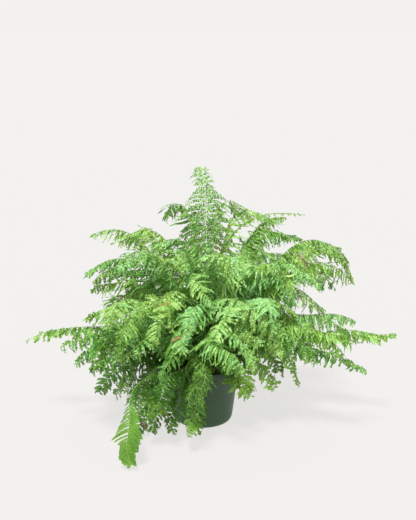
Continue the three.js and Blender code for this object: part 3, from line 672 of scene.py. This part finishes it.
def look_of(frond, rng):
    """The look of one frond."""
    tip = frond["path"][-1]
    hangs = 1 - ease(tip[2], 0.06, 0.2)
    calm = 1 - 0.6 * hangs
    look = dict(
        HABITS, fine=rng.uniform(2.5, 2.9) * MM, pitch=rng.uniform(7.4, 8.6) * MM,
        half=rng.uniform(4.8, 5.8) * MM, size=rng.uniform(1.12, 1.26), gravity=rng.uniform(0.12, 0.4) * calm,
        wave=rng.uniform(60, 130) * MM, phase=rng.uniform(0, TAU), tilt=rng.normal(12, 16) * calm,
        droop=rng.normal(0.42, 0.12) * calm, yellow=np.clip(rng.normal(0.4, 0.2), 0, 1),
        light=np.clip(rng.normal(0.56, 0.12), 0, 1), brown=rng.uniform(0.3, 1), mess=calm,
        grain=0.34 - 0.2 * hangs,
    )
    look["untidy"] *= calm
    # The old fronds that hang low have the broadest leaflets, the young ones high up the finest.
    old = 1 - ease(tip[2], 0.1, 0.3)
    # Those that hang low are also painted darker: painted shade under the fronds above them.
    look["light"] -= 0.25 * old
    style = rng.uniform()
    if style < 0.1 + 0.5 * old:
        pitch, half = rng.uniform(5.8, 6.6) + 1.4 * old, rng.uniform(3.3, 3.9) + 1.3 * old
        look.update(blade=TONGUE, pitch=pitch * MM, half=half * MM, size=rng.uniform(1.04, 1.16), ruffle=1.5)
    elif style > 0.6 + 0.3 * old:
        pitch, half = rng.uniform(5.2, 6.0), rng.uniform(2.9, 3.4)
        look.update(blade=LACY, pitch=pitch * MM, half=half * MM, size=rng.uniform(1.04, 1.14))
    look.update(SPECIAL.get(special_kind(frond), {}))
    return look


# ---- At the crown ----


def add_withered(mesh, start, azimuth, rise, length, rng):
    """A small withered frond that hangs from the crown, brown and shrivelled."""
    n = 25
    share = np.linspace(0, 1, n)
    level = np.radians(rise - (rise + 75) * share)
    turn = azimuth + 0.7 * np.sin(share * 3 + rng.uniform(0, TAU))
    along = np.stack([np.cos(turn) * np.cos(level), np.sin(turn) * np.cos(level), np.sin(level)], 1)
    path = start + np.cumsum(along, axis=0) * length / n
    # Where it leaves the pot it passes over the rim.
    passed = np.flatnonzero(np.hypot(path[:, 0], path[:, 1]) > RIM_RADIUS - WALL - 2 * MM)
    if len(passed):
        k = passed[0]
        short = POT_HEIGHT + 3 * MM - path[k : k + 4, 2].min()
        path[:, 2] += max(short, 0) * ease(share, 0, share[k])
    across = unit(np.cross(UP, along))
    reach = 11 * MM * rng.uniform(0.8, 1.2)
    side = np.array([[at, reach * 0.9, reach * 0.4, 0] for at in (0, 0.5 * length, length)])
    frond = dict(
        path=path, s=share * length, along=along, across=across, up=np.cross(along, across),
        leafy=0.4 * length, length=length, sides={1: side, -1: side},
    )
    look = dict(
        HABITS, blade=LACY, start=0.3, pitch=4.5 * MM, half=2.2 * MM, size=1, sweep=1, gravity=0.9,
        untidy=0.4, wave=30 * MM, phase=rng.uniform(0, TAU), tilt=30, droop=0.9, ruffle=3, yellow=0.5,
        light=rng.uniform(0.3, 0.8), dry=9, brown=1.6, stem=0.7, mess=1, grain=0.3,
    )
    dress_frond(mesh, frond, rng, look)


def add_runner(mesh, foot, azimuth, rng):
    """A pale thread-like runner that leaves the crown and hangs over the rim."""
    out = np.array([math.cos(azimuth), math.sin(azimuth), 0])
    aside = np.array([-out[1], out[0], 0]) * rng.uniform(-0.02, 0.02)
    rim = out * (RIM_RADIUS + 9 * MM) + UP * (POT_HEIGHT + 12 * MM)
    low = out * (RIM_RADIUS + rng.uniform(20, 48) * MM) + aside + UP * rng.uniform(40, 80) * MM
    before, after = (foot + rim) / 2 + UP * 26 * MM, (rim + low) / 2 + aside
    path, s, _ = smooth_path([foot + UP * BUD_DEPTH, before, rim, after, low])
    along = unit(np.gradient(path, s, axis=0))
    across = unit(np.cross(UP, along) + 1e-6)
    tone = np.tile([1.0, 0.9, 0.0, 1.0], (len(path), 1))
    add_tube(mesh, path, across, np.cross(along, across), np.full(len(path), 0.55 * MM), tone, STEM)


def add_bud(mesh, foot, rng):
    """A scaly bud: a tapered core with thin pointed scales pressed against it."""
    rows, height = 6, 17 * MM
    z = np.linspace(0, height, rows)
    radius = np.interp(z, [0, height], [3.4 * MM, 1.7 * MM])
    flat, side, tone = (np.tile(row, (rows, 1)) for row in ([1.0, 0, 0], [0, 1.0, 0], [0.5, 0.4, 0.5, 1.0]))
    add_tube(mesh, foot + z[:, None] * UP, flat, side, radius, tone, SCALE, sides=8)
    count = 34
    turn = rng.uniform(0, TAU, count)
    level = rng.uniform(5, 15, count) * MM
    outward = np.stack([np.cos(turn), np.sin(turn), 0 * turn], 1)
    root = foot + outward * np.interp(level, [0, height], [3.2 * MM, 1.6 * MM])[:, None]
    root[:, 2] += level
    toward = unit(outward * rng.uniform(0.15, 0.6, count)[:, None] + UP)
    wide = unit(np.cross(UP, outward))
    bend = np.zeros((count, 6))
    bend[:, 0] = rng.uniform(-0.1, 0.4, count)
    tones = np.stack([rng.uniform(0, 1, count), rng.uniform(0, 1, count), np.ones(count), np.ones(count)], 1)
    length, half = rng.uniform(4, 7, count) * MM, rng.uniform(0.5, 0.9, count) * MM
    add_blades(mesh, SCALY, root, toward, wide, length, half, bend, tones, rng, kind=SCALE)


# ---- Materials ----


class Shader:
    """A node material, built with short calls."""

    def __init__(self, name):
        self.material = bpy.data.materials.new(name)
        self.material.use_nodes = True
        self.tree = self.material.node_tree
        self.tree.nodes.clear()

    def put(self, socket, value):
        """Link a socket to another one, or set its value."""
        if isinstance(value, bpy.types.NodeSocket):
            self.tree.links.new(value, socket)
        else:
            socket.default_value = value

    def node(self, kind, inputs=None, **settings):
        made = self.tree.nodes.new(kind)
        for key, value in settings.items():
            setattr(made, key, value)
        for key, value in (inputs or {}).items():
            self.put(made.inputs[key], value)
        return made

    def math(self, operation, a, b=0.0):
        return self.node("ShaderNodeMath", {0: a, 1: b}, operation=operation).outputs[0]

    def mix(self, share, a, b):
        """A colour between a and b; the node's colour inputs are the seventh and the eighth."""
        return self.node("ShaderNodeMix", {0: share, 6: a, 7: b}, data_type="RGBA").outputs[2]

    def noise(self, scale, detail=3.0, rough=0.55, where=None):
        inputs = {"Scale": scale, "Detail": detail, "Roughness": rough}
        if where is not None:
            inputs["Vector"] = where
        return self.node("ShaderNodeTexNoise", inputs).outputs[0]

    def span(self, value, low, high, to_low, to_high):
        """The value, moved from one range to another."""
        return self.node("ShaderNodeMapRange", {0: value, 1: low, 2: high, 3: to_low, 4: to_high}).outputs[0]

    def clamp(self, value):
        return self.node("ShaderNodeClamp", {0: value}).outputs[0]

    def bump(self, strength, distance, height):
        inputs = {"Strength": strength, "Distance": distance, "Height": height}
        return self.node("ShaderNodeBump", inputs).outputs[0]

    def tone(self):
        """The three numbers that each corner carries."""
        made = self.node("ShaderNodeAttribute", attribute_name="tone")
        split = self.node("ShaderNodeSeparateColor", {0: made.outputs["Color"]})
        return split.outputs[:3]

    def place(self):
        return self.node("ShaderNodeTexCoord").outputs["Object"]

    def end(self, surface):
        self.node("ShaderNodeOutputMaterial", {"Surface": surface})
        return self.material

    def plain(self, colour, rough, bump=None):
        """The material, with an opaque surface."""
        body = self.node("ShaderNodeBsdfPrincipled", {"Base Color": colour, "Roughness": rough})
        if bump is not None:
            self.put(body.inputs["Normal"], bump)
        return self.end(body.outputs[0])


# Each green is a pair: of a bluish and of a yellowish leaf.
DEEP = ((0.009, 0.104, 0.003, 1), (0.031, 0.122, 0.001, 1))
MIDDLE = ((0.14, 0.39, 0.065, 1), (0.25, 0.43, 0.04, 1))
FRESH = ((0.34, 0.69, 0.29, 1), (0.50, 0.75, 0.23, 1))
LEAF_RIB = (0.30, 0.50, 0.14, 1)
DRY_LEAF = (0.30, 0.18, 0.06, 1)
LIT_FROM_BEHIND = (0.46, 0.82, 0.14, 1)


def leaf_material():
    """Deep to fresh green by the corners' lightness, which carries painted shade and light, with a pale rib,
    fine veins and light coming through.
    """
    s = Shader("leaf")
    yellow, light, dry = s.tone()
    uv = s.node("ShaderNodeUVMap", uv_map="uv").outputs[0]
    over = s.node("ShaderNodeSeparateXYZ", {0: uv}).outputs[1]
    blotch = s.noise(26.0, where=s.place())
    lightness = s.math("ADD", light, s.math("MULTIPLY", s.math("SUBTRACT", blotch, 0.5), 0.5))
    twice = s.math("MULTIPLY", lightness, 2.0)
    lower, upper = s.clamp(twice), s.clamp(s.math("SUBTRACT", twice, 1.0))
    green = s.mix(lower, s.mix(yellow, *DEEP), s.mix(yellow, *MIDDLE))
    green = s.mix(upper, green, s.mix(yellow, *FRESH))
    from_rib = s.math("ABSOLUTE", s.math("SUBTRACT", over, 0.5))
    green = s.mix(s.span(from_rib, 0.02, 0.09, 0.35, 0.0), green, LEAF_RIB)
    colour = s.mix(dry, green, DRY_LEAF)
    veins = {"Vector": uv, "Scale": 5.0, "Distortion": 1.5, "Detail": 1.0}
    veins = s.node("ShaderNodeTexWave", veins, bands_direction="X").outputs[1]
    body = {"Base Color": colour, "Roughness": 0.28, "Specular IOR Level": 0.4}
    body["Normal"] = s.bump(0.25, 0.4 * MM, veins)
    body = s.node("ShaderNodeBsdfPrincipled", body)
    glow = s.node("ShaderNodeBsdfTranslucent", {"Color": s.mix(0.5, colour, LIT_FROM_BEHIND)})
    both = s.node("ShaderNodeMixShader", {0: 0.24, 1: body.outputs[0], 2: glow.outputs[0]})
    return s.end(both.outputs[0])


def stem_material():
    """Green stems, brown in patches near the root."""
    s = Shader("stem")
    far, _, brown = s.tone()
    green = s.mix(far, (0.13, 0.20, 0.045, 1), (0.25, 0.42, 0.10, 1))
    patch = s.noise(60.0, where=s.place())
    share = s.clamp(s.math("MULTIPLY", brown, s.math("ADD", s.math("MULTIPLY", patch, 0.8), 0.45)))
    colour = s.mix(share, green, (0.13, 0.062, 0.025, 1))
    return s.plain(colour, 0.5)


def scale_material():
    """The papery brown scales of a bud."""
    s = Shader("bud_scale")
    _, light, _ = s.tone()
    colour = s.mix(light, (0.07, 0.028, 0.012, 1), (0.32, 0.15, 0.055, 1))
    patch = s.noise(900.0, where=s.place())
    colour = s.mix(s.math("MULTIPLY", patch, 0.5), colour, (0.045, 0.02, 0.01, 1))
    return s.plain(colour, 0.7)


def plastic_material():
    """Dark green moulded plastic, a little dusty and not quite even in gloss."""
    s = Shader("pot_plastic")
    where = s.place()
    wide = s.noise(9.0, where=where)
    fine = s.noise(240.0, 4.0, where=where)
    colour = s.mix(wide, (0.017, 0.058, 0.020, 1), (0.026, 0.077, 0.028, 1))
    dusty = s.span(fine, 0.58, 0.8, 0.0, 0.35)
    colour = s.mix(dusty, colour, (0.075, 0.085, 0.066, 1))
    return s.plain(colour, s.span(wide, 0.3, 0.7, 0.36, 0.52), s.bump(0.12, 0.4 * MM, fine))


def soil_material():
    """Moist peat with brown bark and white perlite, which the corners' tones tell apart."""
    s = Shader("potting_mix")
    bark, _, white = s.tone()
    where = s.place()
    patch = s.noise(60.0, 5.0, where=where)
    colour = s.mix(patch, (0.012, 0.008, 0.006, 1), (0.060, 0.036, 0.022, 1))
    colour = s.mix(s.math("MULTIPLY", bark, 0.6), colour, (0.15, 0.075, 0.035, 1))
    colour = s.mix(s.span(white, 0.6, 0.8, 0.0, 0.9), colour, (0.62, 0.60, 0.55, 1))
    return s.plain(colour, 0.92, s.bump(0.6, 1 * MM, s.noise(420.0, 6.0, where=where)))


leaf, stem, scale = leaf_material(), stem_material(), scale_material()
plastic, soil = plastic_material(), soil_material()

# ---- The plant ----

TUFT_SEED = 1000
FROND_SEED = 70000
WITHERED_SHARE = 0.5  # of the tufts
RUNNER_SHARE = 0.4  # of the outer tufts
OUTER_TUFT = 35 * MM  # from the pot's axis
OPEN_SIDE = -0.8  # radians; no runner hangs where the pot shows
OPEN_HALF_WIDTH = 0.7


def tuft_mesh(number, node):
    """A tuft's bud and fronds, and on some a withered frond or a runner."""
    foot, raws = read_tuft(node)
    rng = np.random.default_rng(TUFT_SEED + number)
    mesh = Mesh()
    add_bud(mesh, foot, rng)
    for k, raw in enumerate(raws):
        own = np.random.default_rng(FROND_SEED + 100 * number + k)
        frond = lay_out(foot, raw, own)
        dress_frond(mesh, frond, own, look_of(frond, own))
    bearing = math.atan2(foot[1], foot[0])
    if rng.uniform() < WITHERED_SHARE:
        azimuth, rise = bearing + rng.normal(0, 0.4), rng.uniform(35, 75)
        add_withered(mesh, foot + UP * 12 * MM, azimuth, rise, rng.uniform(55, 95) * MM, rng)
    outer = math.hypot(foot[0], foot[1]) > OUTER_TUFT
    if outer and rng.uniform() < RUNNER_SHARE and abs(bearing - OPEN_SIDE) > OPEN_HALF_WIDTH:
        add_runner(mesh, foot, bearing + rng.normal(0, 0.2), rng)
    mesh.points = [off_the_pot(points) for points in mesh.points]
    return mesh


tuft_nodes = sorted(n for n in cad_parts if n.startswith("tuft_"))
for number, node in enumerate(tuft_nodes):
    piece = tuft_mesh(number, node).make(f"fronds_{node[-2:]}", (leaf, stem, scale))
    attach(piece, "root")
    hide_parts(node)

# ---- Pot ----

SIDES = 160
EDGE_ROUNDING = 2.2 * MM
RECESS = 0.9 * MM  # of the underside above its foot ring


def bent(points, radius, steps=5):
    """A profile whose corners are rounded with about this radius."""
    p = np.array(points)
    made = [p[0]]
    for before, at, after in zip(p[:-2], p[1:-1], p[2:]):
        size = min(radius, 0.45 * np.linalg.norm(at - before), 0.45 * np.linalg.norm(after - at))
        a, b = at + unit(before - at) * size, at + unit(after - at) * size
        t = np.linspace(0, 1, steps)[:, None]
        made.extend((1 - t) ** 2 * a + 2 * t * (1 - t) * at + t**2 * b)
    made.append(p[-1])
    return np.array(made)


def add_rings(mesh, rings, low, high, tone=(1, 1, 1, 1), over=False):
    """A closed body of rings with its poles at the heights low and high; over turns its faces over."""
    n, sides = rings.shape[:2]
    quads, first = ring_quads(n, sides), fan(n * sides, 0, sides)
    last = fan(n * sides + 1, (n - 1) * sides, sides)
    if over:
        quads, last = quads[:, [0, 3, 2, 1]], last[:, [0, 2, 1]]
    else:
        first = first[:, [0, 2, 1]]
    points = np.concatenate([rings.reshape(-1, 3), [[0, 0, low], [0, 0, high]]])
    mesh.add(points, (quads, np.concatenate([first, last])), tone)


def turned(name, profile, material):
    """A body of revolution from a profile of radius and height that starts and ends on the axis."""
    made = Mesh()
    add_rings(made, rings_of(profile[1:-1], SIDES), profile[0][1], profile[-1][1])
    return made.make(name, (material,))


def carve(piece, cutters):
    """Cut the cutters out of a piece for good."""
    for cutter in cutters:
        cut = piece.modifiers.new("cut", "BOOLEAN")
        cut.operation, cut.solver, cut.object = "DIFFERENCE", "EXACT", cutter
    bpy.context.view_layer.update()
    carved = bpy.data.meshes.new_from_object(piece.evaluated_get(bpy.context.evaluated_depsgraph_get()))
    piece.modifiers.clear()
    old, piece.data = piece.data, carved
    carved.name = old.name + "_mesh"
    bpy.data.meshes.remove(old)
    for cutter in cutters:
        bpy.data.objects.remove(cutter)
    piece.data.set_sharp_from_angle(angle=math.radians(38))


def pot_profile():
    """Half of the pot's section: the underside, up the outside, over the rim and down the inside."""
    points = [
        (0, RECESS), (BASE_RADIUS - 16 * MM, RECESS), (BASE_RADIUS - 15 * MM, 0), (BASE_RADIUS - 7.4 * MM, 0),
        (outside(2.6 * MM) - 2.2 * MM, 2.6 * MM), (outside(9 * MM), 9 * MM),
        (outside(RIM_BOTTOM), RIM_BOTTOM), (RIM_RADIUS - 1 * MM, RIM_BOTTOM + 0.6 * MM),
        (RIM_RADIUS, POT_HEIGHT - 3 * MM), (RIM_RADIUS, POT_HEIGHT), (RIM_RADIUS - WALL, POT_HEIGHT),
        (RIM_RADIUS - WALL - 1.4 * MM, RIM_BOTTOM + 3 * MM), (outside(RIM_BOTTOM) - WALL, RIM_BOTTOM),
        (outside(10 * MM) - WALL, 10 * MM), (BASE_RADIUS - 6 * MM, FLOOR), (0, FLOOR),
    ]
    return bent(points, EDGE_ROUNDING)


def drain_cutters():
    """Pegs that stand through the pot's floor."""
    cutters = []
    peg = np.array([(0, -4 * MM), (DRAIN_RADIUS, -4 * MM), (DRAIN_RADIUS, 8 * MM), (0, 8 * MM)])
    for k in range(DRAIN_COUNT):
        cutter = turned(f"hole_{k}", peg, plastic)
        at = (k + 0.5) * TAU / DRAIN_COUNT
        cutter.location = (DRAIN_CIRCLE * math.cos(at), DRAIN_CIRCLE * math.sin(at), 0)
        cutters.append(cutter)
    return cutters


pot = turned("pot_shell", pot_profile(), plastic)
carve(pot, drain_cutters())
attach(pot, "root")
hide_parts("pot")

# ---- Potting mix ----

SOIL_SEED = 7
SOIL_RINGS = 44
SOIL_SPOKES = 132
SOIL_WAVES = 26
CRUMB = np.array([[x, y, z] for z in (-1, 1) for y in (-1, 1) for x in (-1, 1)], float)
CRUMB_FACES = np.array([[0, 2, 3, 1], [4, 5, 7, 6], [0, 1, 5, 4], [2, 6, 7, 3], [0, 4, 6, 2], [1, 3, 7, 5]])


def heap_height(r):
    """Height of the mix at the radius r."""
    return SOIL_EDGE + SOIL_RISE * (1 - (r / RIM_RADIUS) ** 2)


def add_crumbs(mesh, rng, count, sizes, flatness, tone):
    """Crumbs of bark or perlite lying on the mix: boxes bent out of shape."""
    for _ in range(count):
        r, a = (RIM_RADIUS - 8 * MM) * math.sqrt(rng.uniform()), rng.uniform(0, TAU)
        size = rng.uniform(*sizes) * np.array([1, rng.uniform(0.5, 0.9), rng.uniform(*flatness)])
        crumb = (CRUMB + rng.uniform(-0.3, 0.3, CRUMB.shape)) * size
        spin = Euler((rng.normal(0, 0.4), rng.normal(0, 0.4), rng.uniform(0, TAU))).to_matrix()
        crumb = crumb @ np.array(spin).T
        crumb += [r * math.cos(a), r * math.sin(a), heap_height(r) + 0.2 * size[2]]
        varied = np.clip(np.array(tone) + rng.normal(0, 0.12, 3), 0, 1)
        mesh.add(crumb, CRUMB_FACES, (*varied, 1))


def soil_mesh():
    """The heap of mix, rough on top, down to the pot's floor, with its crumbs."""
    rng = np.random.default_rng(SOIL_SEED)
    made = Mesh()
    edge, bottom = outside(SOIL_EDGE) - WALL - SOIL_GAP, FLOOR + SOIL_GAP
    r = edge * np.linspace(0, 1, SOIL_RINGS)[1:]
    top = rings_of(np.stack([r, heap_height(r)], 1), SOIL_SPOKES)
    x, y = top[..., 0], top[..., 1]
    often, size = rng.uniform(120, 1500, SOIL_WAVES), rng.uniform(0.1, 0.42, SOIL_WAVES) * MM
    waves = zip(often, size, *rng.uniform(0, TAU, (2, SOIL_WAVES)))
    top[..., 2] += sum(
        size * np.sin(x * often * math.cos(way) + y * often * math.sin(way) + phase)
        for often, size, way, phase in waves
    )
    top[..., 2] += rng.normal(0, 0.25 * MM, x.shape)
    side = [(edge, 104 * MM), (outside(12 * MM) - WALL - SOIL_GAP, 12 * MM), (BASE_RADIUS - 8 * MM, bottom)]
    rings = np.concatenate([top, rings_of(np.array(side), SOIL_SPOKES)])
    add_rings(made, rings, heap_height(0), bottom, (0.3, 0.3, 0.3, 1), over=True)
    add_crumbs(made, rng, 420, (1.2 * MM, 3.4 * MM), (0.25, 0.6), tone=(0.25, 0.3, 0.2))
    add_crumbs(made, rng, 120, (2.4 * MM, 6.5 * MM), (0.15, 0.35), tone=(0.6, 0.3, 0.2))
    add_crumbs(made, rng, 90, (0.9 * MM, 1.9 * MM), (0.7, 1.0), tone=(0.3, 0.3, 1.0))
    return made


mix = soil_mesh().make("mix_heap", (soil,))
mix.data.set_sharp_from_angle(angle=math.radians(45))
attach(mix, "root")
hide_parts("potting_mix")

# ---- Floor, light and camera ----

FLOOR_RADIUS = 40.0
FLOOR_SIDES = 96
SKY = ((0.1, 0.895), (0.5, 0.6))  # brightness at two heights of the sky
SKY_TINT = (1, 0.985, 0.967)
SUN_WAY = (0.1, 0.62, -1.0)
CAMERA_AT = (0.011, -1.813, 0.845)
CAMERA_DIP = 15.2  # degrees below level
LENS = 62.9


def make_floor():
    """A wide pale floor that glows a little, so that shadows on it are as faint as in the photo."""
    mesh = Mesh()
    mesh.add(rings_of(np.array([[FLOOR_RADIUS, 0]]), FLOOR_SIDES), np.arange(FLOOR_SIDES)[None])
    s = Shader("floor")
    body = {
        "Base Color": s.mix(s.noise(0.8), (0.097, 0.096, 0.095, 1), (0.103, 0.102, 0.101, 1)),
        "Roughness": 0.9,
        "Specular IOR Level": 0.0,
        "Emission Color": (0.72, 0.710, 0.697, 1),
        "Emission Strength": 1.0,
    }
    return mesh.make("floor", (s.end(s.node("ShaderNodeBsdfPrincipled", body).outputs[0]),))


def make_sky():
    """Soft light from all round, brightest low down."""
    world = bpy.data.worlds.new("studio")
    bpy.context.scene.world = world
    world.use_nodes = True
    nodes, links = world.node_tree.nodes, world.node_tree.links
    ways = nodes.new("ShaderNodeTexCoord")
    height = nodes.new("ShaderNodeSeparateXYZ")
    sky = nodes.new("ShaderNodeValToRGB")
    for element, (at, level) in zip(sky.color_ramp.elements, SKY):
        element.position = at
        element.color = (*(level * tint for tint in SKY_TINT), 1)
    links.new(ways.outputs["Generated"], height.inputs[0])
    links.new(height.outputs[2], sky.inputs[0])
    links.new(sky.outputs[0], nodes["Background"].inputs[0])


def make_sun():
    """The key light, from above and in front."""
    sun = bpy.data.lights.new("key", "SUN")
    sun.energy = 4.3
    sun.angle = math.radians(10)
    sun.color = (1.0, 0.985, 0.95)
    key = placed("key", sun)
    key.rotation_euler = Vector(SUN_WAY).to_track_quat("-Z", "Y").to_euler()
    return key


def make_camera():
    """The camera at the photograph's viewing angle."""
    camera = placed("camera", bpy.data.cameras.new("camera"))
    camera.data.sensor_width = 36
    camera.data.lens = LENS
    camera.location = CAMERA_AT
    camera.rotation_euler = (math.radians(90 - CAMERA_DIP), 0, 0)
    return camera


floor = make_floor()
make_sky()
key = make_sun()
bpy.context.scene.camera = make_camera()
bpy.context.scene.view_settings.view_transform = "Standard"
